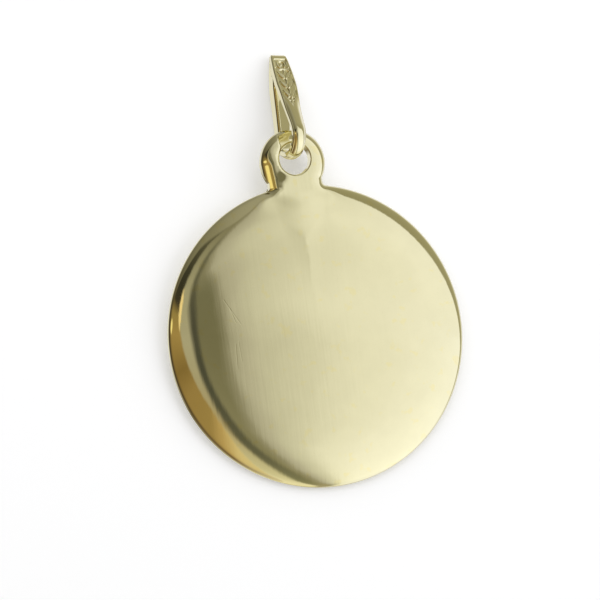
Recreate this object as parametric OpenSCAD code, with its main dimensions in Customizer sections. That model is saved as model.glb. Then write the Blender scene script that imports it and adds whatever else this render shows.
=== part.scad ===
// Disc pendant: a polished plate with a pierced lug, and a drop-shaped bail through the lug.
// It lies face up. +Z is up, +Y runs from the disc to the bail, and Z = 0 is the table.
// The plate rests on its far rim, and the rear strand of the bail props up the lug.

/* [Disc] */
// Diameter of the disc
disc_d = 18; // [14:0.5:24]
// Height of the straight band round the rim, above the back face
rim_h = 0.14; // [0.12:0.01:0.4]
// Rounding of the lower edge of the rim and the lug
back_r = 0.1; // [0.04:0.01:0.12]
// Radius of the rounded upper edge, in section
edge_r = 0.36; // [0.2:0.02:0.6]
// Slope of the face where it meets the rounded edge, in degrees
edge_slope = 21; // [15:1:30]
// Radius of the falling shoulder inside the edge, in section
shoulder_r = 8.5; // [6:0.5:10]
// Radius of the faint dome across the middle of the face
dome_r = 110; // [80:5:200]

/* [Lug] */
// Distance from the disc's edge to the middle of the lug
lug_out = 1.36; // [1.2:0.02:3]
// Outer diameter of the lug
lug_d = 3.95; // [3.7:0.05:5]
// Thickness of the lug
lug_t = 0.66; // [0.56:0.02:0.9]
// Rounding of the lug's upper edge
lug_edge_r = 0.38; // [0.1:0.02:0.4]
// Width of the neck between the lug and the disc
neck_w = 3.3; // [2.4:0.1:3.5]
// Radius of the fillet in each corner beside the neck
neck_fillet = 0.22; // [0.1:0.02:0.4]
// Diameter of the hole
hole_d = 1.88; // [1.7:0.02:2.2]
// How far the middle of the hole lies beyond the middle of the lug
hole_up = 0.2; // [0:0.02:0.3]
// How far the middle of the hole lies to the right of the middle of the lug
hole_side = 0.1; // [-0.1:0.02:0.2]
// Rounding of the hole's upper edge
lip_r = 0.16; // [0.05:0.01:0.2]

/* [Bail] */
// Length of the bail
bail_l = 6.62; // [5.5:0.02:9]
// Depth of the bail from front to back, which is twice the radius of its round lower end
bail_depth = 2.72; // [2.4:0.02:3.6]
// Radius of the bail's top
top_r = 0.2; // [0.1:0.02:0.3]
// Thickness of the front strand
front_t = 0.38; // [0.3:0.02:0.5]
// Thickness of the rear strand
rear_t = 0.5; // [0.4:0.02:0.6]
// Width of the bail where it is widest
bail_w = 1.3; // [0.9:0.02:1.4]

/* [Relief] */
// Width of the plain border on each side of the relief
border = 0.13; // [0.08:0.01:0.2]
// Depth of the sunk ground behind the relief
sunk = 0.08; // [0.04:0.01:0.12]
// Height of the leaves above the sunk ground
leaf_h = 0.1; // [0.05:0.01:0.16]
// Length of a leaf
leaf_l = 0.64; // [0.4:0.02:0.8]
// Width of a leaf
leaf_w = 0.24; // [0.16:0.02:0.3]
// Thickness of the raised lines of the stem, the band and the curl
line_w = 0.1; // [0.06:0.01:0.14]
// Radius of the curl at the top of the relief
curl_r = 0.2; // [0.12:0.01:0.26]

/* [Lie] */
// Clearance between the bail and the plate
gap = 0.05; // [0.03:0.01:0.1]
// Roll of the bail about its length, in degrees
bail_roll = 12; // [0:1:14]
// Turn of the bail's top to the left, in degrees
bail_turn = -5.5; // [-7:0.5:6]
// Place of the bail's lower end to the right of the middle of the lug
bail_side = -0.16; // [-0.3:0.02:0.1]
// Play between the bail's lower end and the wall of the hole, where that is nearest
bail_slack = 0.2; // [0.12:0.02:0.6]

/* [Hidden] */
$fn = 96;
arc_fn = 720;
disc_r = disc_d / 2;
lug_r = lug_d / 2;
hole_r = hole_d / 2;
neck_half = neck_w / 2;
lug_y = disc_r + lug_out;
hole_y = lug_y + hole_up;

// Section of the face: a dome, then a steeper shoulder, then the rounded edge, each tangent to the next
edge_in = disc_r - edge_r * (1 - sin(edge_slope));
dome_slope = asin((edge_in - shoulder_r * sin(edge_slope)) / (dome_r - shoulder_r));
dome_out = dome_r * sin(dome_slope);
edge_z = rim_h + edge_r * cos(edge_slope);
dome_z = edge_z + shoulder_r * (cos(dome_slope) - cos(edge_slope));
disc_t = dome_z + dome_r * (1 - cos(dome_slope));

// Side view of the bail, as [y, z]: y runs up its length from the lower end, z from back to front.
// Both strands meet the round end and the small round top, and the opening follows at its own radius.
// The flat faces lie a hair inside the shared tangents, so that they cut the round ends cleanly.
hair = 0.001;
end_r = bail_depth / 2;
end_middle = [end_r, 0];
top_point = [bail_l - top_r, 0];
side_lean = asin((end_r - top_r) / (top_point.x - end_r));
front_out = [sin(side_lean), cos(side_lean)];
rear_out = [sin(side_lean), -cos(side_lean)];
in_r = end_r - (front_t + rear_t) / 2;
in_middle = [end_r, (rear_t - front_t) / (2 * cos(side_lean))];
in_top = in_middle + [(in_r - hair) / sin(side_lean), 0];

// Front face of the bail: where its straight part starts, and how long that is
face_start = end_middle + end_r * front_out;
face_l = norm(top_point + top_r * front_out - face_start);

// Width of the bail: share of its length, share of its greatest width. It runs past both ends.
WIDTHS = [[-0.1, 0.6], [0.3, 0.69], [0.45, 0.8], [0.68, 1], [0.83, 0.95], [0.95, 0.84], [1.1, 0.5]];

// Relief panel: its two ends as shares of the front face, from the lower end up
panel_low = 0.25;
panel_high = 0.96;
panel_l = (panel_high - panel_low) * face_l;
// Outline of the panel: share of its length, share of the width between the borders
PANEL = [[0, 0], [0.1, 0.55], [0.24, 1], [0.95, 1], [1, 0.75]];
// Leaves: share of the panel's length where each starts, side, tilt outward in degrees
LEAVES = [[0.16, -1, 10], [0.22, 1, 12], [0.36, -1, 16], [0.42, 1, 16], [0.55, -1, 16], [0.6, 1, 16]];
// Ends of the stem, place of the band and place of the curl, as shares of the panel's length
stem_low = 0.08;
stem_high = 0.76;
band_at = 0.78;
curl_at = 0.9;
// Turn of the band and of the curl about their own middles, in degrees
band_turn = 56;
curl_turn = 290;

// How the two pieces lie: the far wall of the hole stands on the curve inside the rolled bail's
// lower end, which lifts the lug and tilts the plate. The strand's outer edge meets that wall first.
end_half = bail_width(end_r) / 2;
edge_x = abs(bail_side - hole_side) + end_half;
roll_lift = bail_w / 2 * sin(bail_roll);
seat_rise = in_r - sqrt(pow(in_r, 2) - pow(in_r - bail_slack, 2));
seat_z = roll_lift + end_half * sin(bail_roll) + (rear_t + seat_rise) * cos(bail_roll) + gap;
plate_run = disc_r + hole_y + sqrt(pow(hole_r, 2) - pow(edge_x, 2));
plate_tilt = asin(seat_z / plate_run);
plate_drop = back_r * (sin(plate_tilt) + cos(plate_tilt) - 1);
end_y = plate_run * cos(plate_tilt) - disc_r - bail_slack + in_r;
bail_reach = (top_point.x - end_r) * cos(side_lean) + top_r;
middle_y = (end_y + bail_reach - disc_r) / 2;

function bail_width(y) = bail_w * lookup(y / bail_l, WIDTHS);

// What rounding takes off a square corner at the origin, with the material to its left and below
module corner_off(r) {
    difference() {
        translate([-r, -r]) square(2 * r);
        translate([-r, -r]) circle(r);
    }
}

// The part of a circle between two uprights, above z = low
module arc_slice(middle, r, from, to, low) {
    intersection() {
        translate(middle) circle(r, $fn = arc_fn);
        translate([from, low]) square([to - from, disc_t]);
    }
}

module disc_section() {
    shoulder = [dome_out, dome_z] - shoulder_r * [sin(dome_slope), cos(dome_slope)];
    difference() {
        union() {
            arc_slice([0, disc_t - dome_r], dome_r, 0, dome_out, 0);
            arc_slice(shoulder, shoulder_r, dome_out, edge_in, 0);
            arc_slice([disc_r - edge_r, rim_h], edge_r, edge_in, disc_r, rim_h);
            translate([edge_in, 0]) square([disc_r - edge_in, rim_h]);
        }
        translate([disc_r, 0]) mirror([0, 1]) corner_off(back_r);
    }
}

module lug_section() {
    difference() {
        square([lug_r, lug_t]);
        translate([lug_r, lug_t]) corner_off(lug_edge_r);
        translate([lug_r, 0]) mirror([0, 1]) corner_off(back_r);
    }
}

// The hole runs past both faces and widens in a rounded lip at the upper one
module hole_section() {
    translate([0, -lug_t]) square([hole_r, 3 * lug_t]);
    translate([hole_r, lug_t]) mirror([1, 0]) corner_off(lip_r);
}

module neck_section() {
    difference() {
        translate([-neck_half, 0]) square([neck_w, lug_t]);
        for (side = [0, 1])
            mirror([side, 0]) {
                translate([neck_half, lug_t]) corner_off(lug_edge_r);
                translate([neck_half, 0]) mirror([0, 1]) corner_off(back_r);
            }
    }
}

// The neck runs back under the face, to where the disc is thicker than the neck
module neck() {
    translate([0, lug_y, 0]) rotate([90, 0, 0]) linear_extrude(lug_d) neck_section();
}

module neck_corner() {
    middle = [neck_half + neck_fillet, sqrt(pow(disc_r + neck_fillet, 2) - pow(neck_half + neck_fillet, 2))];
    touch = middle * disc_r / (disc_r + neck_fillet);
    linear_extrude(rim_h + edge_r / 2)
        difference() {
            polygon([
                [neck_half, middle.y],
                middle,
                touch,
                [neck_half - neck_fillet, touch.y - neck_fillet]]);
            translate(middle) circle(neck_fillet);
        }
}

module disc_plate() {
    color("gold")
        translate([0, -middle_y - disc_r, -plate_drop])
            rotate([plate_tilt, 0, 0])
                translate([0, disc_r, 0])
                    difference() {
                        union() {
                            rotate_extrude() disc_section();
                            translate([0, lug_y, 0]) rotate_extrude() lug_section();
                            neck();
                            neck_corner();
                            mirror([1, 0, 0]) neck_corner();
                        }
                        translate([hole_side, hole_y, 0]) rotate_extrude() hole_section();
                    }
}

// A drop seen from the side: a large and a small circle joined by two straight lines
module bail_outline() {
    translate(end_middle) circle(end_r);
    translate(top_point) circle(top_r);
    polygon([
        end_middle + (end_r - hair) * rear_out,
        top_point + (top_r - hair) * rear_out,
        top_point + (top_r - hair) * front_out,
        end_middle + (end_r - hair) * front_out]);
}

module bail_opening() {
    translate(in_middle) circle(in_r);
    polygon([in_middle, in_middle + (in_r - hair) * rear_out, in_top, in_middle + (in_r - hair) * front_out]);
}

// The loop seen from the side, cut to the outline seen from the front
module bail_loop() {
    intersection() {
        translate([-bail_w, 0, 0])
            rotate([90, 0, 90])
                linear_extrude(2 * bail_w)
                    difference() {
                        bail_outline();
                        bail_opening();
                    }
        translate([0, 0, -bail_depth]) linear_extrude(2 * bail_depth) bail_front();
    }
}

module bail_front() {
    polygon([
        for (row = WIDTHS) [row[1] * bail_w / 2, row[0] * bail_l],
        for (i = [len(WIDTHS) - 1 : -1 : 0]) [-WIDTHS[i][1] * bail_w / 2, WIDTHS[i][0] * bail_l]]);
}

// Puts what is drawn flat onto the sunk ground: x across the strand, y up it from the panel's lower end
module on_panel() {
    translate([0, face_start.x, face_start.y])
        rotate([-side_lean, 0, 0])
            translate([0, panel_low * face_l, -sunk])
                children();
}

function panel_half(share, part) =
    part * (bail_width(face_start.x + (panel_low * face_l + share * panel_l) * cos(side_lean)) / 2 - border);

module panel() {
    linear_extrude(2 * sunk)
        polygon([
            for (row = PANEL) [panel_half(row[0], row[1]), row[0] * panel_l],
            for (i = [len(PANEL) - 1 : -1 : 1]) [-panel_half(PANEL[i][0], PANEL[i][1]), PANEL[i][0] * panel_l]]);
}

// A pointed oval that stands on its lower point, rooted a little below the ground
module leaf() {
    side_r = (pow(leaf_l, 2) + pow(leaf_w, 2)) / (4 * leaf_w);
    translate([0, leaf_l / 2, -sunk / 2])
        linear_extrude(leaf_h + sunk / 2)
            intersection() {
                translate([side_r - leaf_w / 2, 0]) circle(side_r);
                translate([leaf_w / 2 - side_r, 0]) circle(side_r);
            }
}

// A raised round line bent about the origin, as far to the left of +Y as to the right
module bent_line(r, turn) {
    rotate([0, 0, 90 - turn / 2])
        rotate_extrude(angle = turn)
            translate([r, 0]) circle(d = line_w);
}

module relief() {
    band_half = panel_half(band_at, 1) - line_w / 2;
    band_r = band_half / sin(band_turn / 2);
    for (row = LEAVES)
        let (start = row[0], side = row[1], tilt = row[2])
            translate([side * (line_w + leaf_w) / 2, start * panel_l, 0])
                rotate([0, 0, -side * tilt])
                    leaf();
    translate([0, stem_low * panel_l, 0])
        rotate([-90, 0, 0])
            cylinder(d = line_w, h = (stem_high - stem_low) * panel_l);
    translate([0, band_at * panel_l - band_r, 0]) bent_line(band_r, band_turn);
    translate([0, curl_at * panel_l, 0]) {
        rotate([0, 0, 40]) bent_line(curl_r, curl_turn);
        sphere(r = curl_r / 2);
    }
}

module bail() {
    color("goldenrod")
        translate([bail_side, end_y - middle_y, roll_lift])
            rotate([0, 0, bail_turn])
                rotate([0, bail_roll, 0])
                    translate([0, 0, end_r])
                        rotate([-side_lean, 0, 0])
                            translate([0, -end_r, 0]) {
                                difference() {
                                    bail_loop();
                                    on_panel() panel();
                                }
                                on_panel() relief();
                            }
}

disc_plate();
bail();
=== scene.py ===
"""Looks of the disc pendant: smooth meshes in place of its two solids, gold, a light tent and a camera.

Shapes are worked out in millimetres and turned into metres when a mesh is made. The plate is shaped in a
frame of its own, with the middle of the disc's flat back at the origin, +Y to the lug and +Z to the face.
The bail is shaped with its length along Y, its round lower end at y = 0 and its front face up.
"""
import math

import bpy
import numpy as np
from mathutils import Matrix, Vector
from mathutils.geometry import delaunay_2d_cdt


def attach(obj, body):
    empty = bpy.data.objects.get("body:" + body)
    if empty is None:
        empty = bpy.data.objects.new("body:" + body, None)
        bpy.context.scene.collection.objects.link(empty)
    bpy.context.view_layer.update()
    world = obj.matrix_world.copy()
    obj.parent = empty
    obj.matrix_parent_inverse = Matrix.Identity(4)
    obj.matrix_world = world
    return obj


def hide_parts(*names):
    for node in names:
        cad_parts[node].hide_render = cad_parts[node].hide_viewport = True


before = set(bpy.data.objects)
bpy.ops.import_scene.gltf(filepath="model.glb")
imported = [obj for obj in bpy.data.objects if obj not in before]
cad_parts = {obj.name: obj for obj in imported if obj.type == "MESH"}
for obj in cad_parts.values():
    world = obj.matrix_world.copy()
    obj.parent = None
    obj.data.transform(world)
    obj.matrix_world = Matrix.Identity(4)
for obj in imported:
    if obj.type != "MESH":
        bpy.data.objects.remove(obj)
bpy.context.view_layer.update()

MM = 0.001

# The plate, as in the solids
DISC_R = 9.0
LUG_R = 1.975
LUG_Y = DISC_R + 1.36
NECK_HALF = 1.65
FILLET_R = 0.22
HOLE_R = 0.94
HOLE = (0.1, LUG_Y + 0.2)
# Height of the outer edge of the disc and of the lug, and the rounding under both
DISC_EDGE = 0.14
LUG_EDGE = 0.28
BACK_R = 0.1
# Reach of the rounded lip round the hole at its left, and the share of it that is left at its right
LIP = 0.22
LIP_LEAST = 0.25

# The bail, as in the solids
BAIL_L = 6.62
BAIL_W = 1.3
END_R = 1.36
TOP_R = 0.2
FRONT_T = 0.38
REAR_T = 0.5
# Its width: share of its length, share of its greatest width
WIDTHS = [(-0.1, 0.6), (0.3, 0.69), (0.45, 0.8), (0.68, 1.0), (0.83, 0.95), (0.95, 0.84), (1.1, 0.5)]
# Its roll about its length and its turn to the left in degrees, and its place beside the lug's middle
BAIL_ROLL = 12.0
BAIL_TURN = -5.5
BAIL_SIDE = -0.16
# Clearance between the two pieces, and the play of the bail's end where the hole's wall is nearest
GAP = 0.05
SLACK = 0.2

# The bail's side view: the lean of its strands, the length of its front face, the radius of its opening
TOP_Y = BAIL_L - TOP_R
LEAN = math.asin((END_R - TOP_R) / (TOP_Y - END_R))
FACE_L = (TOP_Y - END_R) * math.cos(LEAN)
OPENING_R = END_R - (FRONT_T + REAR_T) / 2

# How the two lie: the hole's far wall stands inside the bail's rolled lower end, which lifts the lug
ROLL = math.radians(BAIL_ROLL)
ROLL_LIFT = BAIL_W / 2 * math.sin(ROLL)
END_HALF = BAIL_W / 2 * float(np.interp(END_R / BAIL_L, *zip(*WIDTHS)))
EDGE_X = abs(BAIL_SIDE - HOLE[0]) + END_HALF
SEAT_RISE = OPENING_R - math.sqrt(OPENING_R ** 2 - (OPENING_R - SLACK) ** 2)
SEAT_Z = ROLL_LIFT + END_HALF * math.sin(ROLL) + (REAR_T + SEAT_RISE) * math.cos(ROLL) + GAP
PLATE_RUN = DISC_R + HOLE[1] + math.sqrt(HOLE_R ** 2 - EDGE_X ** 2)
PLATE_TILT = math.asin(SEAT_Z / PLATE_RUN)
PLATE_DROP = BACK_R * (math.sin(PLATE_TILT) + math.cos(PLATE_TILT) - 1)
END_Y = PLATE_RUN * math.cos(PLATE_TILT) - DISC_R - SLACK + OPENING_R
MIDDLE_Y = (END_Y + FACE_L + TOP_R - DISC_R) / 2


def new_mesh(name, verts, faces, normals=None):
    """A mesh object from millimetres in the part's frame, smooth all over."""
    mesh = bpy.data.meshes.new(name)
    mesh.from_pydata([tuple(v) for v in verts * MM], [], [tuple(int(i) for i in f) for f in faces])
    mesh.validate()
    mesh.polygons.foreach_set("use_smooth", [True] * len(mesh.polygons))
    if normals is not None:
        mesh.normals_split_custom_set_from_vertices([tuple(n) for n in normals])
    mesh.update()
    ob = bpy.data.objects.new(name, mesh)
    bpy.context.scene.collection.objects.link(ob)
    return ob


def turn(axis, angle):
    return np.array(Matrix.Rotation(angle, 3, axis))


def smooth_step(x, a, b):
    t = np.clip((x - a) / (b - a), 0, 1)
    return t * t * (3 - 2 * t)


def within(x, stretch):
    """1 inside a stretch, which is given as where it fades in, from and to, and where it fades out."""
    a, b, c, d = stretch
    return smooth_step(x, a, b) * (1 - smooth_step(x, c, d))


# The plate's surface
def profile(knots, edge):
    """Height and steepness over the distance from the outline, from knots of (distance, slope in degrees)."""
    knot_d, knot_slope = zip(*knots)
    d = np.linspace(0, knot_d[-1], 9001)
    steep = np.tan(np.radians(np.interp(d, knot_d, knot_slope)))
    height = edge + np.concatenate([[0], np.cumsum((steep[1:] + steep[:-1]) / 2 * np.diff(d))])
    return lambda x: np.interp(x, d, height), lambda x: np.interp(x, d, steep)


# The bevels of the disc, of the lug and the neck, and of the lug's left flank
DISC_BEVEL = profile([
    (0, 88), (0.02, 68), (0.05, 53), (0.09, 41), (0.14, 32), (0.2, 26), (0.28, 22.8), (0.4, 20.7),
    (0.7, 17.8), (1.0, 15), (1.4, 12), (1.8, 9), (2.5, 5.5), (3.5, 3), (5.0, 1.6), (9.0, 0)], DISC_EDGE)
LUG_BEVEL = profile([
    (0, 88), (0.03, 64), (0.08, 48), (0.15, 36), (0.24, 27), (0.32, 18), (0.42, 7), (0.6, 1.5), (0.8, 0),
    (9.0, 0)], LUG_EDGE)
FLANK_BEVEL = profile([
    (0, 82), (0.03, 74), (0.05, 56), (0.08, 46), (0.12, 40), (0.16, 37), (0.3, 31.5), (0.45, 24), (0.53, 17),
    (0.62, 10.4), (0.72, 6), (0.84, 2), (1.0, 0), (9.0, 0)], LUG_EDGE)

# The fillet's middle beside the neck, where it touches the disc, and where the neck meets the lug
FILLET_X = NECK_HALF + FILLET_R
FILLET_Y = math.sqrt((DISC_R + FILLET_R) ** 2 - FILLET_X ** 2)
TOUCH = np.array([FILLET_X, FILLET_Y]) * DISC_R / (DISC_R + FILLET_R)
WAIST_Y = LUG_Y - math.sqrt(LUG_R ** 2 - NECK_HALF ** 2)
TOUCH_ANGLE = math.atan2(TOUCH[1], TOUCH[0])
WAIST_ANGLE = math.atan2(WAIST_Y - LUG_Y, NECK_HALF)

# Where and how much the two sides of the neck are blended
NECK_BLEND = (5.5, 8.0, 10.6, 11.6)
NECK_BLEND_SHARE = 0.9
# Where the lug's bevel takes over from the disc's going up, and where it ends to each side, wider below
LUG_START = (6.9, 8.7)
LUG_SIDES = (1.7, 2.1)
LUG_WIDENS = 1.3
LUG_WIDENS_BELOW = 8.6
# The lug's left flank: where it starts to the left, where it ends going up, and where its foot widens it
FLANK_START = (0.0, 0.9)
FLANK_END = (10.2, 11.2)
FLANK_FOOT = (8.7, 9.4)
FLANK_FOOT_SHARE = 0.62
# Its straight run: the stretch going up, where it starts to the left, and the line that it is measured from,
# as a point with its rise to the right and going up, and the least share of the distance from the outline
FLANK_RUN = (8.6, 8.95, 10.3, 11.0)
FLANK_RUN_START = (0.5, 1.1)
FLANK_POINT = (-1.92, 9.7)
FLANK_RISE = (0.85, 0.07)
FLANK_LEAST = 0.35
# Leans in the shading alone. A faint hollow beside the hole's lip: its middle, radius and lean
HOLLOW = (-0.88, 9.58)
HOLLOW_R = 0.27
HOLLOW_LEAN = -0.14
# A worn slope towards the bail: its stretch going up, its slanted left end, its right end, its lean over y
SLOPE_RUN = (10.9, 11.1, 12.0, 12.2)
SLOPE_SLANT = (0.12, 11.6)
SLOPE_LEFT = (-0.84, -0.7)
SLOPE_RIGHT = (0.3, 0.6)
SLOPE_LEAN = [(11.3, 0.24), (11.7, 0.42)]
# The flank's lean back along its run, and where that starts to the left
FLANK_LEAN = 0.12
FLANK_LEAN_START = (0.9, 1.2)
# Step that slopes are taken over, what keeps a divisor above nothing, and a distance past all others
SLOPE_STEP = 0.002
TINY = 1e-6
FAR = 99.0


def right_side(x, y):
    """Distance to the right half of the outline, from inside it."""
    r = np.hypot(x, y)
    a = np.arctan2(y, x)
    d = np.where((a <= TOUCH_ANGLE) & (x >= 0), np.abs(DISC_R - r), FAR)
    d = np.minimum(d, np.hypot(x - TOUCH[0], y - TOUCH[1]))
    d = np.minimum(d, np.hypot(x, y + DISC_R))
    f = np.arctan2(y - FILLET_Y, x - FILLET_X) % (2 * math.pi)
    on_fillet = (f >= math.pi) & (f <= math.pi + TOUCH_ANGLE)
    to_fillet = np.abs(np.hypot(x - FILLET_X, y - FILLET_Y) - FILLET_R)
    d = np.minimum(d, np.where(on_fillet, to_fillet, FAR))
    d = np.minimum(d, np.where((y >= FILLET_Y) & (y <= WAIST_Y), np.abs(NECK_HALF - x), FAR))
    d = np.minimum(d, np.hypot(x - NECK_HALF, y - WAIST_Y))
    g = np.arctan2(y - LUG_Y, x)
    on_lug = (g >= WAIST_ANGLE) & (g <= math.pi / 2)
    return np.minimum(d, np.where(on_lug, np.abs(LUG_R - np.hypot(x, y - LUG_Y)), FAR))


def from_outline(p):
    return np.minimum(right_side(p[:, 0], p[:, 1]), right_side(-p[:, 0], p[:, 1]))


def from_hole(p):
    """Distance from the hole's middle."""
    return np.hypot(p[:, 0] - HOLE[0], p[:, 1] - HOLE[1])


def inside(x, y):
    """Distance from the outline, smoothed where the two sides of the neck are equally near."""
    a, b = right_side(x, y), right_side(-x, y)
    reach = NECK_BLEND_SHARE * (a + b) / 2 * within(y, NECK_BLEND) + TINY
    return np.minimum(a, b) - np.maximum(reach - np.abs(a - b), 0) ** 2 / (4 * reach)


def layers(x, y):
    """The bevels that make the face: for each its share, its profile and the distance it goes by."""
    d = inside(x, y)
    # The lug's own bevel starts on the disc under the neck, and fades out to both sides of the neck's foot
    side_end = LUG_SIDES[1] + LUG_WIDENS * np.clip(LUG_WIDENS_BELOW - y, 0, 2)
    beside = smooth_step(np.abs(x), LUG_SIDES[0], side_end) * (y < LUG_Y - 1)
    lug = smooth_step(y, *LUG_START) * (1 - beside)
    # The left flank of the lug is a broad bevel that runs straight up from the neck
    flank = smooth_step(-x, *FLANK_START) * (1 - smooth_step(y, *FLANK_END))
    straight = within(y, FLANK_RUN) * smooth_step(-x, *FLANK_RUN_START)
    line = FLANK_RISE[0] * (x - FLANK_POINT[0]) + FLANK_RISE[1] * (y - FLANK_POINT[1])
    line = np.maximum(line, FLANK_LEAST * d)
    widened = d / (FLANK_FOOT_SHARE + (1 - FLANK_FOOT_SHARE) * smooth_step(y, *FLANK_FOOT))
    flank_d = (1 - straight) * widened + straight * line
    return [(1 - lug, DISC_BEVEL, d), (lug * (1 - flank), LUG_BEVEL, d), (lug * flank, FLANK_BEVEL, flank_d)]


def lip_drop(x, y):
    left = (1 - np.cos(np.arctan2(y - HOLE[1], x - HOLE[0]))) / 2
    lip = LIP * (LIP_LEAST + (1 - LIP_LEAST) * left)
    e = np.clip(np.hypot(x - HOLE[0], y - HOLE[1]) - HOLE_R, 0, lip)
    return lip - np.sqrt(np.maximum(lip ** 2 - (lip - e) ** 2, 0))


def plate_height(x, y):
    return sum(share * bevel[0](d) for share, bevel, d in layers(x, y)) - lip_drop(x, y)


def worn_lean(x, y):
    """Leans of the normal to the right and up the plate, from wear too slight for the mesh."""
    off_hollow = ((x - HOLLOW[0]) / HOLLOW_R) ** 2 + ((y - HOLLOW[1]) / HOLLOW_R) ** 2
    slanted = x + SLOPE_SLANT[0] * (y - SLOPE_SLANT[1])
    slope = smooth_step(slanted, *SLOPE_LEFT) * (1 - smooth_step(x, *SLOPE_RIGHT)) * within(y, SLOPE_RUN)
    to_right = HOLLOW_LEAN * np.exp(-off_hollow) + np.interp(y, *zip(*SLOPE_LEAN)) * slope
    up = FLANK_LEAN * smooth_step(-x, *FLANK_LEAN_START) * within(y, FLANK_RUN)
    return to_right, up


def plate_normal(x, y):
    """Each bevel's own steepness, mixed by their shares, the lip's slope and the worn leans."""
    e = SLOPE_STEP
    out = [lip_drop(x + e, y) - lip_drop(x - e, y), lip_drop(x, y + e) - lip_drop(x, y - e)]
    steep = [(share, bevel[1](d)) for share, bevel, d in layers(x, y)]
    for axis, (ex, ey) in enumerate(((e, 0), (0, e))):
        around = zip(steep, layers(x + ex, y + ey), layers(x - ex, y - ey))
        for (share, slope), (_, _, ahead), (_, _, behind) in around:
            out[axis] = out[axis] - share * slope * (ahead - behind)
    to_right, up = worn_lean(x, y)
    return np.stack([out[0] / (2 * e) + to_right, out[1] / (2 * e) + up, np.ones_like(x)], -1)


# The plate's mesh: distances of the rows of points from the outline and from the hole's wall
OUTLINE_ROWS = [0.008, 0.02, 0.04, 0.07, 0.105, 0.15, 0.2, 0.26, 0.33, 0.42, 0.52]
HOLE_ROWS = [0, 0.006, 0.016, 0.03, 0.05, 0.075, 0.105, 0.14, 0.18]
HOLE_POINTS = 120
# Clear space that the other points leave round the outline's rows and the hole's rows
HOLE_CLEAR = HOLE_R + 0.22
GRID_CLEAR = HOLE_R + 0.23
# Steps of the rings across the disc and of the grid round the lug, and how far both stay off the outline
RING_STEP = 0.17
RING_EDGE = 0.6
GRID_STEP = 0.09
GRID_EDGE = 0.58
# Two corners of the grid, and the lower end of the space that the rings leave for it
GRID_LOW = (-2.55, 7.02)
GRID_HIGH = (2.6, 12.3)
GRID_START = 7.0
# Steps along the outline, on the fillets, the lug and the disc, and points on each side of the neck
FILLET_STEP = 0.02
LUG_STEP = 0.04
DISC_STEP = 0.08
NECK_POINTS = 6
# How far the normals at the upper edges of the walls lean up, and those of the rounding below lean down
WALL_LEAN = 0.06
UNDER_LEAN = 0.001
# Steps of the rounding under the plate, and heights of the rows down the hole's wall as shares of it
BACK_STEPS = 4
WALL_ROWS = (0.66, 0.33, 0.0)


def plate_outline():
    """Points and outward directions round the outline, counter-clockwise from the right foot of the neck."""
    def arc(cx, cy, r, a0, a1, step, out=1):
        a = np.linspace(a0, a1, max(2, int(abs(a1 - a0) * r / step)), endpoint=False)
        return np.stack([cx + r * np.cos(a), cy + r * np.sin(a), out * np.cos(a), out * np.sin(a)], -1)

    def side(x, y0, y1, out):
        y = np.linspace(y0, y1, NECK_POINTS, endpoint=False)
        return np.stack([np.full_like(y, x), y, np.full_like(y, out), np.zeros_like(y)], -1)

    return np.concatenate([
        arc(FILLET_X, FILLET_Y, FILLET_R, math.pi + TOUCH_ANGLE, math.pi, FILLET_STEP, -1),
        side(NECK_HALF, FILLET_Y, WAIST_Y, 1.0),
        arc(0, LUG_Y, LUG_R, WAIST_ANGLE, math.pi - WAIST_ANGLE, LUG_STEP),
        side(-NECK_HALF, WAIST_Y, FILLET_Y, -1.0),
        arc(-FILLET_X, FILLET_Y, FILLET_R, 0, -TOUCH_ANGLE, FILLET_STEP, -1),
        arc(0, 0, DISC_R, math.pi - TOUCH_ANGLE, 2 * math.pi + TOUCH_ANGLE, DISC_STEP)])


def disc_rings():
    """Points on rings across the disc, up to the rows along its outline and the grid round the lug."""
    rings = []
    for i, r in enumerate(np.arange(0, DISC_R - RING_EDGE, RING_STEP)):
        count = max(1, int(2 * math.pi * r / RING_STEP))
        a = (np.arange(count) + 0.5 * (i % 2)) * 2 * math.pi / count
        p = np.stack([r * np.cos(a), r * np.sin(a)], -1)
        rings.append(p[~((p[:, 1] > GRID_START) & (np.abs(p[:, 0]) < GRID_HIGH[0]))])
    return rings


def lug_grid():
    gx, gy = np.meshgrid(*(np.arange(low, high, GRID_STEP) for low, high in zip(GRID_LOW, GRID_HIGH)))
    p = np.stack([gx.ravel(), gy.ravel()], -1)
    in_disc = np.hypot(p[:, 0], p[:, 1]) < DISC_R
    in_lug = np.hypot(p[:, 0], p[:, 1] - LUG_Y) < LUG_R
    in_neck = (np.abs(p[:, 0]) < NECK_HALF) & (p[:, 1] < LUG_Y)
    return p[(from_outline(p) > GRID_EDGE) & (in_disc | in_lug | in_neck) & (from_hole(p) > GRID_CLEAR)]


def face_points(line, around):
    """Points of the plate's face, with the place where the hole's rings start among them."""
    points = [line[:, :2]]
    for d in OUTLINE_ROWS:
        p = line[:, :2] - d * line[:, 2:]
        points.append(p[(from_outline(p) > 0.97 * d) & (from_hole(p) > HOLE_CLEAR)])
    hole_start = sum(len(p) for p in points)
    points += [np.array(HOLE) + (HOLE_R + e) * around for e in HOLE_ROWS]
    return np.concatenate([*points, *disc_rings(), lug_grid()]), hole_start


def in_plate(p):
    """Whether points lie on the plate, a hair inside its fillets and its hole."""
    hair = 0.002
    x, y = p[:, 0], p[:, 1]
    corner = (np.abs(x) < FILLET_X) & (y > TOUCH[1]) & (y < FILLET_Y)
    corner &= np.hypot(np.abs(x) - FILLET_X, y - FILLET_Y) > FILLET_R - hair
    body = (np.hypot(x, y) < DISC_R) | (np.hypot(x, y - LUG_Y) < LUG_R) | corner
    body |= (np.abs(x) < NECK_HALF) & (y > 8) & (y < LUG_Y)
    return body & (from_hole(p) > HOLE_R - hair)


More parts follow.
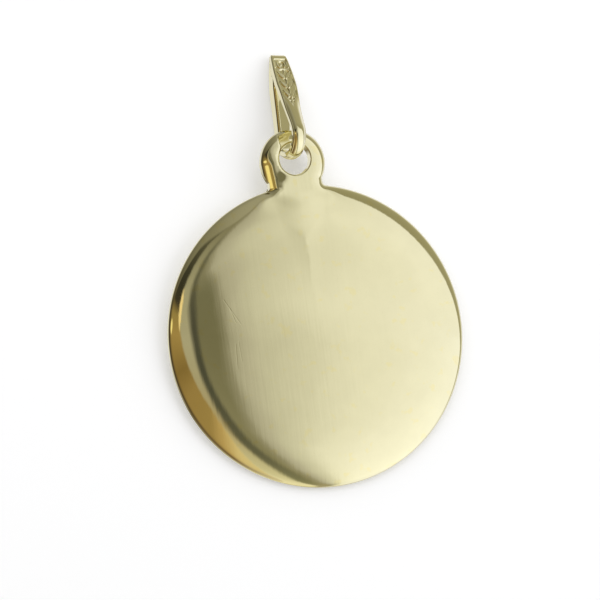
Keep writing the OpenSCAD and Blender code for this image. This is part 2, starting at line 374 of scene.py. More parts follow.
def plate_triangles(points, loops):
    """Delaunay triangles of the points that lie on the plate, with closed loops as borders."""
    edges = []
    for start, count in loops:
        edges += [(start + i, start + (i + 1) % count) for i in range(count)]
    co, _, faces, origin, _, _ = delaunay_2d_cdt([Vector(p) for p in points], edges, [], 0, 1e-7)
    assert len(co) == len(points)
    first = [o[0] for o in origin]
    tri = np.array([[first[i] for i in f] for f in faces if len(f) == 3])
    return tri[in_plate(points[tri].mean(axis=1))]


class Shell:
    """Vertices with their normals, and the faces between them."""

    def __init__(self, verts, normals, faces):
        self.verts = verts
        self.normals = normals
        self.faces = [tuple(f) for f in faces]

    def add_row(self, upper, ring, normals, outward):
        """Joins an existing closed row of vertices to a new one under it, and gives the new one."""
        count = len(ring)
        low = list(range(len(self.verts), len(self.verts) + count))
        self.verts = np.concatenate([self.verts, ring])
        self.normals = np.concatenate([self.normals, normals])
        for i in range(count):
            j = (i + 1) % count
            quad = (upper[i], low[i], low[j], upper[j])
            self.faces.append(quad if outward else quad[::-1])
        return low


def make_plate():
    line = plate_outline()
    n = len(line)
    a = np.linspace(0, 2 * math.pi, HOLE_POINTS, endpoint=False)
    around = np.stack([np.cos(a), np.sin(a)], -1)
    face, hole_start = face_points(line, around)
    hole = slice(hole_start, hole_start + HOLE_POINTS)
    x, y = face.T
    z = plate_height(x, y)
    normal = plate_normal(x, y)
    normal[:n] = np.column_stack([line[:, 2:], np.full(n, WALL_LEAN)])
    normal[hole] = np.column_stack([-around, np.full(HOLE_POINTS, WALL_LEAN)])
    top = plate_triangles(face, [(0, n), (hole_start, HOLE_POINTS)])
    shell = Shell(np.column_stack([face, z]), normal, top)

    # The wall and the rounding under the outline
    outer = list(range(n))
    for q in np.linspace(0, math.pi / 2, BACK_STEPS + 1):
        p = line[:, :2] - BACK_R * (1 - math.cos(q)) * line[:, 2:]
        ring = np.column_stack([p, np.full(n, BACK_R * (1 - math.sin(q)))])
        out = np.column_stack([line[:, 2:] * math.cos(q), np.full(n, -math.sin(q) - UNDER_LEAN)])
        outer = shell.add_row(outer, ring, out, True)

    # The hole's wall
    inner = list(range(hole_start, hole_start + HOLE_POINTS))
    wall = np.array(HOLE) + HOLE_R * around
    to_middle = np.column_stack([-around, np.zeros(HOLE_POINTS)])
    for share in WALL_ROWS:
        inner = shell.add_row(inner, np.column_stack([wall, z[hole] * share]), to_middle, False)

    # The flat back, between the last two rows
    rows = outer + inner
    back = plate_triangles(shell.verts[rows][:, :2], [(0, n), (n, HOLE_POINTS)])
    faces = shell.faces + [tuple(rows[i] for i in f)[::-1] for f in back]

    normals = shell.normals / np.linalg.norm(shell.normals, axis=1, keepdims=True)
    tilt = turn("X", PLATE_TILT)
    verts = (shell.verts + [0, DISC_R, 0]) @ tilt.T + [0, -MIDDLE_Y - DISC_R, -PLATE_DROP]
    return new_mesh("plate_gold", verts, faces, normals @ tilt.T)


# The bail
# Parts of the loop in the order that its rows go round it, and the number of rows on each
TOP, FRONT, END, REAR = range(4)
ROWS = (20, 250, 84, 110)
# Radius of the opening's narrow upper end
TIP_R = 0.05
# Rounding of the outer edges, and of the opening's edges on the front and the rear strand
BEVEL = 0.08
FINE_FRONT = 0.02
FINE_REAR = 0.15
# Fall of the crowned lower end at its edges, and how much the rear strand's left inner edge is worn
CROWN = 0.22
CROWN_POWER = 3
WORN = 0.22
# Columns of points across the front and the inner face, down each side and round each edge
FRONT_COLUMNS = 66
INNER_COLUMNS = 15
SIDE_COLUMNS = 9
EDGE_ANGLES = np.radians(np.arange(1, 5) * 18)

# The relief on the front face, as places across it and up it from where the round end stops
PANEL_LOW = 1.22
PANEL_HIGH = 4.76
BORDER = 0.13
SUNK = 0.085
MARKS_SHARE = 0.8
VEIN_DEPTH = 0.2
VEIN_HALF = 0.022
VEIN_ENDS = (0.08, 0.85)
LEAF_BLUNT = 0.8
# Slope between the panel and its border, and the stretch over which the crowned lower end fades out
PANEL_EDGE = (-0.015, 0.03)
CROWN_FADE = (0.9, 2.6)
# Half the panel's width as a share of the room between the borders, over its height
PANEL_REACH = [(PANEL_LOW, -0.05), (PANEL_LOW + 0.5, 0.45), (PANEL_LOW + 0.95, 1), (PANEL_HIGH - 0.1, 1),
               (PANEL_HIGH, 0.9)]
# Leaves in pairs: start across and up, tilt outward in degrees, length, width, height
LEAF_PAIRS = [(0.42, 4.12, -6, 0.5, 0.17, 0.1), (0.05, 3.32, 36, 0.62, 0.26, 0.12),
              (0.05, 2.66, 36, 0.6, 0.26, 0.12), (0.04, 1.98, 34, 0.58, 0.24, 0.12),
              (0.0, 1.3, 0, 0.5, 0.2, 0.1)]
# Curls and the band: middle across and up, radius, half the line's width, height, from and to in degrees
CURLS = [(-0.02, 4.36, 0.25, 0.065, 0.11, -50, 250), (0.0, 3.42, 0.6, 0.06, 0.11, 42, 138),
         (-0.1, 1.84, 0.13, 0.05, 0.09, 60, 330), (0.12, 1.84, 0.12, 0.05, 0.09, -150, 120)]
# The bead in the upper curl: middle across and up, radius, height
BEAD = (-0.02, 4.36, 0.1, 0.11)
# The wavy stem: swing, waves in radians per millimetre, half its width, height, lower and upper end
STEM = (0.05, 8.5, 0.045, 0.085, 1.5, 4.0)


def arc_ways(start, sweep, share):
    """Directions along an arc of the side view."""
    a = start + share * sweep
    return np.stack([np.cos(a), np.sin(a)], -1)


def loop_path(middle, big, top_y, small):
    """A drop in the [y, z] plane, from the top down the front, round the end and up the rear, closed.

    Gives its points, their outward directions, the part of the loop and the share along that part.
    """
    front = np.array([math.sin(LEAN), math.cos(LEAN)])
    rear = front * [1, -1]
    top = np.array([top_y, middle[1]])
    steep = math.pi / 2 - LEAN
    rows = []
    for part, count in enumerate(ROWS):
        share = np.arange(count) / count
        along = share[:, None]
        if part == TOP:
            out = arc_ways(-steep, 2 * steep, share)
            p = top + small * out
        elif part == FRONT:
            out = np.tile(front, (count, 1))
            p = (top + small * front) * (1 - along) + (middle + big * front) * along
        elif part == END:
            out = arc_ways(steep, math.pi + 2 * LEAN, share)
            p = middle + big * out
        else:
            out = np.tile(rear, (count, 1))
            p = (middle + big * rear) * (1 - along) + (top + small * rear) * along
        rows.append((p, out, np.full(count, part), share))
    return [np.concatenate(column) for column in zip(*rows)]


def bail_half(y):
    """Half the bail's width at a height y, the table's corners rounded off."""
    t = np.linspace(-0.1, 1.1, 601)
    kernel = np.hanning(41)
    width = np.pad(np.interp(t, *zip(*WIDTHS)), 20, mode="edge")
    width = np.convolve(width, kernel / kernel.sum(), mode="valid")
    return BAIL_W / 2 * np.interp(y / BAIL_L, t, width)


def ridge(d, half):
    """A rounded bump over the distance d from its line."""
    return np.sqrt(np.maximum(1 - (d / half) ** 2, 0))


def leaf(a, b, across, up, tilt, length, width, height):
    s, c = math.sin(math.radians(tilt)), math.cos(math.radians(tilt))
    along = ((a - across) * s + (b - up) * c) / length
    off = (a - across) * c - (b - up) * s
    swell = np.sin(math.pi * np.clip(along, 0, 1) ** LEAF_BLUNT)
    half = width / 2 * np.sqrt(np.maximum(swell, 0)) + TINY
    bump = np.where((along > 0) & (along < 1), ridge(off, half), 0)
    vein = np.exp(-(off / VEIN_HALF) ** 2) * (along > VEIN_ENDS[0]) * (along < VEIN_ENDS[1])
    return height * (bump - VEIN_DEPTH * vein * bump)


def curl(a, b, across, up, radius, half, height, start, stop):
    angle = np.degrees(np.arctan2(b - up, a - across)) % 360
    shown = (angle - start) % 360 <= stop - start
    return height * ridge(np.hypot(a - across, b - up) - radius, half) * shown


def relief(a, b):
    """Height of the front face: a across it, b up it from where the round end stops."""
    half = bail_half(END_R * (1 + math.sin(LEAN)) + b * math.cos(LEAN))
    room = (half - BORDER) * np.interp(b, *zip(*PANEL_REACH)) - np.abs(a)
    panel = smooth_step(np.minimum(room, PANEL_HIGH - b), *PANEL_EDGE)

    marks = [curl(a, b, *row) for row in CURLS]
    for across, up, tilt, *size in LEAF_PAIRS:
        marks += [leaf(a, b, side * across, up, side * tilt, *size) for side in (-1, 1)]
    across, up, radius, height = BEAD
    marks.append(height * ridge(np.hypot(a - across, b - up), radius))
    swing, waves, stem_half, height, low, high = STEM
    marks.append(height * ridge(a - swing * np.sin(b * waves), stem_half) * (b > low) * (b < high))

    crown = 1 - smooth_step(b, *CROWN_FADE)
    fall = crown * CROWN * np.clip(np.abs(a) / half, 0, 1) ** CROWN_POWER
    return (MARKS_SHARE * np.max(marks, axis=0) - SUNK) * panel - fall


def by_part(part, top, front, end, rear):
    return np.select([part == TOP, part == FRONT, part == END], [top, front, end], rear)


def make_bail():
    opening_z = (REAR_T - FRONT_T) / (2 * math.cos(LEAN))
    opening_top = END_R + (OPENING_R - TIP_R) / math.sin(LEAN)
    outer, out, part, share = loop_path(np.array([END_R, 0.0]), END_R, TOP_Y, TOP_R)
    inner, inner_out, _, _ = loop_path(np.array([END_R, opening_z]), OPENING_R, opening_top, TIP_R)
    half_out, half_in = bail_half(outer[:, 0]), bail_half(inner[:, 0])

    # Place up the front face, rounding of the opening's edges, and share of the rear strand's wear
    b = by_part(part, FACE_L, FACE_L * (1 - share), 0.0, 0.0)
    more = (FINE_REAR - FINE_FRONT) * share
    fine = by_part(part, FINE_REAR - more, FINE_FRONT, FINE_FRONT + more, FINE_REAR)
    worn = by_part(part, 1 - smooth_step(share, 0, 0.5), 0.0, smooth_step(share, 0.75, 1.0), 1.0)
    worn = WORN * worn * half_in
    # Fall of the crown at the edges of the round end, which carries on up the rear strand
    crown = CROWN * np.where(part == END, 1 - 0.6 * smooth_step(share, 0.55, 1.0), 0.4)
    end_fall = -crown * (1 - BEVEL / half_out) ** CROWN_POWER
    edge_fall = by_part(part, 0.0, relief(half_out - BEVEL, b), end_fall, end_fall)
    left = inner - inner_out * (2 * worn)[:, None]
    columns = []

    def put(x, p):
        columns.append(np.column_stack([x, p]))

    def outer_edge(side, angles):
        for q in angles:
            down = edge_fall - BEVEL * (1 - np.cos(q))
            put(side * (half_out - BEVEL + BEVEL * np.sin(q)), outer + out * down[:, None])

    def inner_edge(side, path, angles):
        for q in angles:
            up = fine * (1 - np.cos(q))
            put(side * (half_in - fine + fine * np.sin(q)), path + inner_out * up[:, None])

    def flat_side(side, path, shares):
        start = outer + out * (edge_fall - BEVEL)[:, None]
        stop = path + inner_out * fine[:, None]
        for s in shares:
            p = start * (1 - s) + stop * s
            put(side * bail_half(p[:, 0]), p)

    for t in np.linspace(-1, 1, FRONT_COLUMNS):
        x = t * (half_out - BEVEL)
        end_height = -crown * np.abs(x / half_out) ** CROWN_POWER
        height = np.where(part <= FRONT, relief(x, b), end_height)
        put(x, outer + out * height[:, None])
    outer_edge(1, EDGE_ANGLES)
    flat_side(1, inner, np.linspace(0, 1, SIDE_COLUMNS))
    inner_edge(1, inner, EDGE_ANGLES[::-1])
    for t in np.linspace(1, -1, INNER_COLUMNS):
        put(t * (half_in - fine), inner + inner_out * (worn * (t - 1))[:, None])
    inner_edge(-1, left, EDGE_ANGLES)
    flat_side(-1, left, np.linspace(1, 0, SIDE_COLUMNS))
    outer_edge(-1, EDGE_ANGLES[::-1])

    grid = np.stack(columns, 1)
    rows, width = grid.shape[:2]
    faces = []
    for i in range(rows):
        below = (i + 1) % rows
        for k in range(width):
            beside = (k + 1) % width
            faces.append((i * width + k, below * width + k, below * width + beside, i * width + beside))
    verts = (grid.reshape(-1, 3) - [0, END_R, 0]) @ turn("X", -LEAN).T + [0, 0, END_R]
    lie = turn("Z", math.radians(BAIL_TURN)) @ turn("Y", ROLL)
    return new_mesh("bail_gold", verts @ lie.T + [BAIL_SIDE, END_Y - MIDDLE_Y, ROLL_LIFT], faces)


class Graph:
    """Adds shader nodes to one tree. A value is a number, a tuple or a socket to link from."""

    def __init__(self, tree):
        self.tree = tree

    def put(self, value, socket):
        if isinstance(value, bpy.types.NodeSocket):
            self.tree.links.new(value, socket)
        else:
            socket.default_value = value

    def add(self, kind, inputs, **settings):
        node = self.tree.nodes.new("ShaderNode" + kind)
        for name, value in settings.items():
            setattr(node, name, value)
        for name, value in inputs.items():
            self.put(value, node.inputs[name])
        return node

    def calc(self, kind, a, b=0.0, c=0.0):
        return self.add("Math", {0: a, 1: b, 2: c}, operation=kind).outputs[0]

    def noise(self, vector, scale, detail):
        return self.add("TexNoise", {"Vector": vector, "Scale": scale, "Detail": detail}).outputs["Fac"]

    def span(self, x, start, stop, low=0.0, high=1.0, kind="SMOOTHSTEP"):
        """A number that goes from low to high as x goes from start to stop."""
        ends = {"Value": x, "From Min": start, "From Max": stop, "To Min": low, "To Max": high}
        return self.add("MapRange", ends, interpolation_type=kind).outputs["Result"]

    def mix(self, share, a, b):
        """The colour a where share is 0 and b where it is 1."""
        a, b = ((*v, 1) if isinstance(v, tuple) else v for v in (a, b))
        return self.add("Mix", {0: share, 6: a, 7: b}, data_type="RGBA").outputs[2]

    def ramp(self, x, stops):
        """A colour or a number over x, from (x, colour or number) stops."""
        low, high = stops[0][0], stops[-1][0]
        values = [value for _, value in stops]
        number = not isinstance(values[0], tuple)
        base, size = (min(values), max(values) - min(values)) if number else (0, 1)
        share = self.calc("DIVIDE", self.calc("SUBTRACT", x, low), high - low)
        node = self.add("ValToRGB", {"Fac": share})
        items = node.color_ramp.elements
        while len(items) > 1:
            items.remove(items[-1])
        for i, (at, value) in enumerate(stops):
            place = (at - low) / (high - low)
            item = items.new(place) if i else items[0]
            item.position = place
            item.color = (*[(value - base) / size] * 3, 1) if number else (*value, 1)
        if number:
            return self.calc("MULTIPLY_ADD", node.outputs["Color"], size, base)
        return node.outputs["Color"]


# Gold
GOLD = (0.87, 0.83, 0.59)
# Fine scratches on the disc, from (x, y) to (x, y) off the disc's middle, half their width and their depth
SCRATCHES = [(-5.5, 2.66, -4.65, 1.06), (-5.2, 2.1, -4.95, 1.2), (-5.14, -0.02, -5.22, -1.5),
             (-4.95, 0.1, -4.9, -1.1)]
SCRATCH_HALF = 0.05
SCRATCH_DEPTH = 0.5
# Noise scales per metre, turn of the streaks in degrees, and depth of streaks and scratches in metres
TONE_SCALE = 900
STAIN_SCALE = 1500
STREAK_SCALE = (5200, 260, 260)
STREAK_TURN = -14
BUMP_DEPTH = 9e-7
# Stretches of the noises over which the tone, the stains and the gloss change, and how much they change
TONE_RANGE = (0.35, 0.7)
DARKER = 0.97
STAIN_RANGE = (0.6, 0.72)
STAIN_SHARE = 0.45
STAIN_TINT = (1.02, 0.96, 0.72)
GLOSS_RANGE = (0.3, 0.7)
GLOSS_SPREAD = (0.8, 1.25)


def scratch(graph, place, ends):
    """Depth of one scratch over the surface."""
    x0, y0, x1, y1 = ends
    half = math.hypot(x1 - x0, y1 - y0) / 2
    along = graph.add("Mapping", {
        "Vector": place, "Location": (x0 * MM, (y0 - MIDDLE_Y) * MM, 0),
        "Rotation": (0, 0, math.atan2(y1 - y0, x1 - x0)), "Scale": (MM, MM, MM)}, vector_type="TEXTURE")
    parts = graph.add("SeparateXYZ", {"Vector": along.outputs["Vector"]}).outputs
    groove = graph.span(graph.calc("ABSOLUTE", parts["Y"]), 0.0, SCRATCH_HALF, SCRATCH_DEPTH, 0.0)
    return graph.calc("MULTIPLY", groove, graph.calc("COMPARE", parts["X"], half, half))


def gold(name, roughness, wear, scratches=()):
    """Polished gold: faint stains in its colour, uneven gloss and, by wear, fine streaks and scratches."""
    mat = bpy.data.materials.new(name)
    mat.use_nodes = True
    graph = Graph(mat.node_tree)
    surface = mat.node_tree.nodes["Principled BSDF"].inputs
    surface["Metallic"].default_value = 1.0
    place = graph.add("TexCoord", {}).outputs["Object"]

    tone = graph.noise(place, TONE_SCALE, 4)
    base = graph.ramp(tone, list(zip(TONE_RANGE, (tuple(DARKER * c for c in GOLD), GOLD))))
    stain = graph.span(graph.noise(place, STAIN_SCALE, 2), *STAIN_RANGE, 0.0, STAIN_SHARE * wear)
    stained = tuple(tint * c for tint, c in zip(STAIN_TINT, GOLD))
    graph.put(graph.mix(stain, base, stained), surface["Base Color"])
    gloss = graph.span(tone, *GLOSS_RANGE, *(spread * roughness for spread in GLOSS_SPREAD), "LINEAR")
    graph.put(gloss, surface["Roughness"])

    streak_turn = (0, 0, math.radians(STREAK_TURN))
    turned = graph.add("Mapping", {"Vector": place, "Rotation": streak_turn, "Scale": STREAK_SCALE})
    height = graph.noise(turned.outputs["Vector"], 1.0, 3)
    for ends in scratches:
        height = graph.calc("SUBTRACT", height, scratch(graph, place, ends))
    bump = graph.add("Bump", {"Strength": wear, "Distance": BUMP_DEPTH, "Height": height})
    graph.put(bump.outputs["Normal"], surface["Normal"])
    return mat


# The floor
FLOOR_SIZE = 1.2
FLOOR_GLOW = 0.29


def make_floor():
    """A plain pale sheet that glows a little. The gold mirrors the tent alone, not the floor."""
    bpy.ops.mesh.primitive_plane_add(size=FLOOR_SIZE, location=(0, 0, 0))
    sheet = bpy.context.object
    sheet.name = "floor"
    paper = bpy.data.materials.new("paper")
    paper.use_nodes = True
    surface = paper.node_tree.nodes["Principled BSDF"].inputs
    surface["Base Color"].default_value = (0.8, 0.8, 0.8, 1)
    surface["Roughness"].default_value = 0.9
    surface["Specular IOR Level"].default_value = 0.0
    surface["Emission Color"].default_value = (1, 1, 1, 1)
    surface["Emission Strength"].default_value = FLOOR_GLOW
    sheet.data.materials.append(paper)
    sheet.visible_glossy = False
    return sheet


# The camera: direction to it, its turn, the scale, and the pixel where the frame's origin falls
CAMERA_OUT = Vector((-0.25671814, -0.1179279, 0.95926472)).normalized()
CAMERA_TURN = math.radians(98.69012568)
CAMERA_DISTANCE = 400.0
PX_PER_MM = 16.8422479
ORIGIN_PX = (302.88637, 270.66266)
IMAGE_PX = 600
SENSOR = 36


def make_camera():
    """A long lens at the photo's angle."""
    up = (Vector((0, 1, 0)) - CAMERA_OUT * CAMERA_OUT.y).normalized()
    beside = up.cross(CAMERA_OUT)
    right = math.cos(CAMERA_TURN) * up + math.sin(CAMERA_TURN) * beside
    above = math.sin(CAMERA_TURN) * up - math.cos(CAMERA_TURN) * beside
    data = bpy.data.cameras.new("camera")
    data.sensor_width = SENSOR
    data.lens = PX_PER_MM * CAMERA_DISTANCE / IMAGE_PX * SENSOR
    data.shift_x = (IMAGE_PX / 2 - ORIGIN_PX[0]) / IMAGE_PX
    data.shift_y = (ORIGIN_PX[1] - IMAGE_PX / 2) / IMAGE_PX
    data.clip_start = 0.01
    data.clip_end = 10
    camera = bpy.data.objects.new("camera", data)
    bpy.context.scene.collection.objects.link(camera)
    facing = Matrix((right, above, CAMERA_OUT)).transposed().to_4x4()
    camera.matrix_world = Matrix.Translation(CAMERA_OUT * CAMERA_DISTANCE * MM) @ facing
    return camera


def linear(c):
    c /= 255
    return c / 12.92 if c < 0.04045 else ((c + 0.055) / 1.055) ** 2.4


def seen(r, g, b):
    """The light that polished gold shows as this colour."""
    return tuple(linear(c) / base for c, base in zip((r, g, b), GOLD))


# The light tent. Directions are laid out flat round the zenith: u to the right, v away, in degrees off it.
# Turn of that plan against the part's frame, in degrees
PLAN_TURN = 8.42
# The dark gap between the tent's two sheets, a bent line overhead: u of its left and its right edge over v
GAP_LEFT = [(-120, 34.0), (-70, 17.0), (-50, 11.0), (-40, 7.0), (-30, 0.5), (-20, -5.0), (-10, -7.3),
            (0, -11.3), (8, -16.0), (14, -16.5), (20, -14.0), (25, -9.5), (34, -1.5), (45, 1.0), (120, 3.5)]
GAP_RIGHT = [(-120, 45.0), (-70, 27.0), (-50, 20.0), (-40, 16.0), (-30, 10.0), (-20, 6.6), (-12, 5.6),
             (-4, 7.0), (2, 7.6), (6, 3.8), (10, -0.8), (14, -7.0), (20, -8.5), (25, -6.0), (34, -1.0),
             (45, 1.5), (120, 4.0)]
# Width of the gap's darkest line over v, the line's colours, and those between it and the right-hand sheet
CORE_WIDTH = [(-20, 4.5), (6, 4.2), (13, 2.2), (40, 2.0)]
CORE = [(-70, seen(158, 146, 101)), (-45, seen(130, 125, 82)), (-25, seen(98, 94, 64)),
        (-5, seen(74, 72, 51)), (6, seen(76, 73, 52)), (14, seen(94, 90, 62)), (22, seen(104, 99, 69)),
        (27, seen(128, 121, 84))]
WEDGE = [(-60, seen(160, 148, 102)), (-35, seen(134, 126, 82)), (-12, seen(130, 123, 83)),
         (2, seen(112, 106, 70)), (9, seen(112, 107, 72)), (16, seen(132, 125, 88)),
         (34, seen(148, 141, 103))]

# The right-hand sheet over its distance from the gap, in widths that go by v, and its level over v
SHEET_WIDTH = [(-70, 5.0), (-45, 6.0), (-30, 8.0), (-8, 8.2), (4, 7.6), (8, 13.5), (14, 20.0)]
SHEET = [(0, seen(156, 149, 113)), (0.06, seen(166, 159, 123)), (0.37, seen(182, 175, 138)),
         (0.55, seen(195, 189, 149)), (0.86, seen(210, 204, 163)), (1.04, seen(222, 216, 175)),
         (1.28, seen(231, 225, 184)), (2.0, seen(239, 233, 194)), (7.0, seen(248, 243, 208))]
SHEET_LEVEL = [(-45, 1.06), (-25, 1.01), (-2, 1.0), (5, 0.98), (10, 1.0), (16, 1.0), (40, 0.95)]
# A brighter round patch on that sheet: u, v, radius and how much it adds
PATCH = (44.0, -34.0, 42.0, 0.12)
# The room past the sheet's far edge, over degrees off the zenith, and its colour low down
ROOM = [(45, seen(142, 134, 88)), (62, seen(154, 146, 100)), (82, seen(166, 157, 110)),
        (96, seen(214, 207, 166)), (115, seen(238, 234, 214))]
RIGHT_LOW = seen(188, 176, 118)
# The plane of the sheet's far edge: what it takes of a direction's x, y and z
FAR_EDGE = (0.43, 1.0, -1.16)

# The left-hand side over its bearing in degrees: its main band, what is above it, near the table and below
LEFT = [(60, seen(170, 162, 124)), (100, seen(140, 133, 96)), (114, seen(88, 83, 55)),
        (138, seen(60, 57, 37)), (149, seen(52, 49, 31)), (158, seen(58, 52, 33)), (165, seen(146, 124, 62)),
        (176, seen(158, 130, 65)), (199, seen(128, 103, 48)), (214, seen(148, 121, 61)),
        (236, seen(152, 126, 64)), (247, seen(184, 154, 85)), (256, seen(208, 184, 114)),
        (265, seen(212, 191, 123)), (273, seen(228, 215, 158))]
LEFT_UPPER = [(60, seen(172, 165, 127)), (100, seen(150, 143, 105)), (116, seen(132, 125, 88)),
              (135, seen(116, 110, 76)), (150, seen(98, 92, 62)), (165, seen(78, 71, 46))]
LEFT_LOW = [(60, seen(200, 193, 160)), (100, seen(140, 134, 100)), (140, seen(104, 98, 68)),
            (160, seen(82, 72, 43)), (175, seen(70, 60, 37)), (215, seen(86, 70, 40)),
            (245, seen(120, 98, 56)), (268, seen(206, 190, 136)), (285, seen(240, 230, 180))]
LEFT_BELOW = [(60, seen(214, 208, 176)), (175, seen(226, 220, 186)), (215, seen(120, 108, 70)),
              (285, seen(226, 214, 160))]
# Lower edge of the part above, as v over u
UPPER_EDGE = [(-60, 21.0), (-29, 24.5), (-21, 28.6), (-15, 29.0), (0, 31.0)]
# The paler strip beside the gap: u of its left edge and its colour, over v
STRIP_LEFT = [(-60, 0.0), (-40, -3.0), (-30, -6.0), (-20, -7.5), (-15, -9.5), (-10, -14.0), (-6, -17.5),
              (-2, -20.5), (2, -22.5), (8, -24.5), (14, -24.0), (21, -20.0), (27, -15.0), (31, -5.0),
              (40, 3.0)]
STRIP = [(-70, seen(232, 220, 162)), (-50, seen(218, 207, 151)), (-40, seen(204, 193, 136)),
         (-30, seen(188, 176, 123)), (-18, seen(170, 152, 101)), (-8, seen(165, 153, 108)),
         (0, seen(167, 158, 116)), (14, seen(158, 150, 108)), (22, seen(140, 133, 94)),
         (28, seen(128, 121, 84))]
# Small bright ellipses on the left-hand side: u, v, half width, half height, slant, colour
GLINTS = [(-23.6, 8.5, 1.7, 7.0, 0.0, seen(238, 208, 128)),
          (-47.0, 5.6, 12.0, 3.8, -0.05, seen(246, 222, 128))]
# Soft edges in degrees: of the gap, the sheet, the core, the right-hand side low down, the upper part and
# the strip, and the left-hand side near the table and below
GAP_FADE = (-2.2, 2.4)
SHEET_FADE = (-3.2, 2.4)
CORE_FADE = (0.0, 4.0)
RIGHT_LOW_FADE = (122.0, 145.0)
LEFT_FADE = (-1.5, 1.5)
LEFT_LOW_FADE = (40.0, 80.0)
LEFT_BELOW_FADE = (105.0, 135.0)
# Soft edges of the sheet's far side and of the glints, which aren't in degrees
FAR_FADE = (-0.015, 0.02)
GLINT_FADE = (0.3, 1.0)
# Bearings run from here, once round
BEARING_START = -45.0
# What the table gets from the tent, a plain grey
SOFT_GREY = (0.26, 0.26, 0.262)


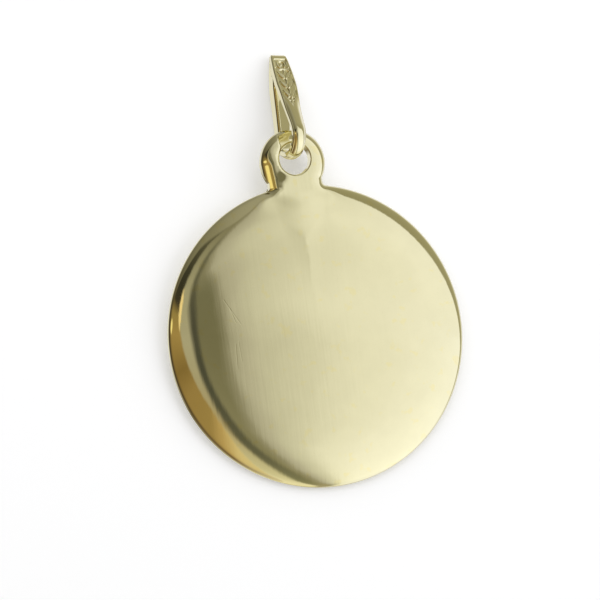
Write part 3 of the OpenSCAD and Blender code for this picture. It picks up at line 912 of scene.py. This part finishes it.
class Tent(Graph):
    """The light by its direction, as the gold mirrors it."""

    def __init__(self, tree):
        super().__init__(tree)
        way = self.add("TexCoord", {}).outputs["Generated"]
        spin = {"Vector": way, "Angle": math.radians(PLAN_TURN)}
        plan = self.add("VectorRotate", spin, rotation_type="Z_AXIS").outputs["Vector"]
        self.x, self.y, self.z = self.add("SeparateXYZ", {"Vector": plan}).outputs
        calc = self.calc
        self.polar = calc("DEGREES", calc("ARCCOSINE", self.z))
        flat = calc("MAXIMUM", self.length(self.x, self.y), 0.0001)
        self.u = calc("DIVIDE", calc("MULTIPLY", self.polar, self.x), flat)
        self.v = calc("DIVIDE", calc("MULTIPLY", self.polar, self.y), flat)
        bearing = calc("DEGREES", calc("ARCTAN2", self.y, self.x))
        before = calc("LESS_THAN", bearing, BEARING_START)
        self.bearing = calc("ADD", bearing, calc("MULTIPLY", before, 360.0))

    def length(self, a, b):
        calc = self.calc
        return calc("SQRT", calc("ADD", calc("MULTIPLY", a, a), calc("MULTIPLY", b, b)))

    def scaled(self, colour, by):
        return self.add("VectorMath", {0: colour, "Scale": by}, operation="SCALE").outputs[0]

    def glint(self, u0, v0, half_width, half_height, slant):
        """1 in a small ellipse about (u0, v0), fading out towards its edge."""
        calc = self.calc
        du = calc("SUBTRACT", self.u, u0)
        dv = calc("SUBTRACT", calc("SUBTRACT", self.v, v0), calc("MULTIPLY", du, slant))
        a, b = calc("DIVIDE", du, half_width), calc("DIVIDE", dv, half_height)
        d = calc("ADD", calc("MULTIPLY", a, a), calc("MULTIPLY", b, b))
        return calc("SUBTRACT", 1.0, self.span(d, *GLINT_FADE))

    def right_sheet(self, past_gap):
        """The right-hand sheet, and the room past its far edge."""
        calc = self.calc
        sheet = self.ramp(calc("DIVIDE", past_gap, self.ramp(self.v, SHEET_WIDTH)), SHEET)
        u0, v0, radius, added = PATCH
        off_patch = self.length(calc("SUBTRACT", self.u, u0), calc("SUBTRACT", self.v, v0))
        patch = calc("SUBTRACT", 1.0, self.span(off_patch, 0.0, radius))
        level = calc("MULTIPLY", self.ramp(self.v, SHEET_LEVEL), calc("MULTIPLY_ADD", patch, added, 1.0))
        off_edge = [calc("MULTIPLY", axis, part) for axis, part in zip((self.x, self.y, self.z), FAR_EDGE)]
        far = calc("ADD", calc("ADD", *off_edge[:2]), off_edge[2])
        return self.mix(self.span(far, *FAR_FADE), self.scaled(sheet, level), self.ramp(self.polar, ROOM))

    def right_side(self, in_gap, past_gap):
        """The gap's right part, which is darkest along a line at its left edge, and the sheet beside it."""
        past_core = self.calc("SUBTRACT", in_gap, self.ramp(self.v, CORE_WIDTH))
        core = self.ramp(self.v, CORE)
        shade = self.mix(self.span(past_core, *CORE_FADE), core, self.ramp(self.v, WEDGE))
        right = self.mix(self.span(past_gap, *SHEET_FADE), shade, self.right_sheet(past_gap))
        return self.mix(self.span(self.polar, *RIGHT_LOW_FADE), right, RIGHT_LOW)

    def left_side(self):
        """The left-hand side, which goes by bearing, with other colours high up and near the table."""
        over_edge = self.calc("SUBTRACT", self.v, self.ramp(self.u, UPPER_EDGE))
        past_strip = self.calc("SUBTRACT", self.u, self.ramp(self.v, STRIP_LEFT))
        left = self.ramp(self.bearing, LEFT)
        left = self.mix(self.span(over_edge, *LEFT_FADE), left, self.ramp(self.bearing, LEFT_UPPER))
        left = self.mix(self.span(self.polar, *LEFT_LOW_FADE), left, self.ramp(self.bearing, LEFT_LOW))
        left = self.mix(self.span(self.polar, *LEFT_BELOW_FADE), left, self.ramp(self.bearing, LEFT_BELOW))
        left = self.mix(self.span(past_strip, *LEFT_FADE), left, self.ramp(self.v, STRIP))
        for *shape, colour in GLINTS:
            left = self.mix(self.glint(*shape), left, colour)
        return left

    def colour(self):
        in_gap = self.calc("SUBTRACT", self.u, self.ramp(self.v, GAP_LEFT))
        past_gap = self.calc("SUBTRACT", self.u, self.ramp(self.v, GAP_RIGHT))
        right = self.right_side(in_gap, past_gap)
        return self.mix(self.span(in_gap, *GAP_FADE), self.left_side(), right)


def make_tent():
    world = bpy.data.worlds.new("tent")
    world.use_nodes = True
    tent = Tent(world.node_tree)
    mirrored = tent.add("LightPath", {}).outputs["Is Glossy Ray"]
    background = world.node_tree.nodes["Background"].inputs["Color"]
    tent.put(tent.mix(mirrored, SOFT_GREY, tent.colour()), background)
    return world


# Wide low lights for the table's shadows: bearing in degrees and power in watts
LIGHTS = [(36.6, 0.74), (-30.0, 0.43), (112.0, 0.8)]
LIGHT_HEIGHT = 39
LIGHT_DISTANCE = 0.35
LIGHT_SIZE = (0.5, 0.42)


def make_light(bearing, power):
    """A light that the gold doesn't mirror, because it shows the tent alone."""
    data = bpy.data.lights.new("key", "AREA")
    data.shape = "RECTANGLE"
    data.size, data.size_y = LIGHT_SIZE
    data.energy = power
    light = bpy.data.objects.new("key", data)
    bpy.context.scene.collection.objects.link(light)
    around, up = math.radians(bearing), math.radians(LIGHT_HEIGHT)
    out = Vector((math.cos(around) * math.cos(up), math.sin(around) * math.cos(up), math.sin(up)))
    light.location = LIGHT_DISTANCE * out
    light.rotation_euler = out.to_track_quat("Z", "Y").to_euler()
    light.visible_glossy = False


plate = make_plate()
bail = make_bail()
plate.data.materials.append(gold("polished_gold", 0.05, 1.0, SCRATCHES))
bail.data.materials.append(gold("bail_gold_metal", 0.08, 0.4))

for piece, node, slot in ((plate, "disc_plate", "gold_plate"), (bail, "bail", "gold_bail")):
    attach(piece, "root")
    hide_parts(node)

floor = make_floor()

bpy.context.scene.camera = make_camera()
bpy.context.scene.view_settings.view_transform = "Standard"
bpy.context.scene.world = make_tent()
for bearing, power in LIGHTS:
    make_light(bearing, power)
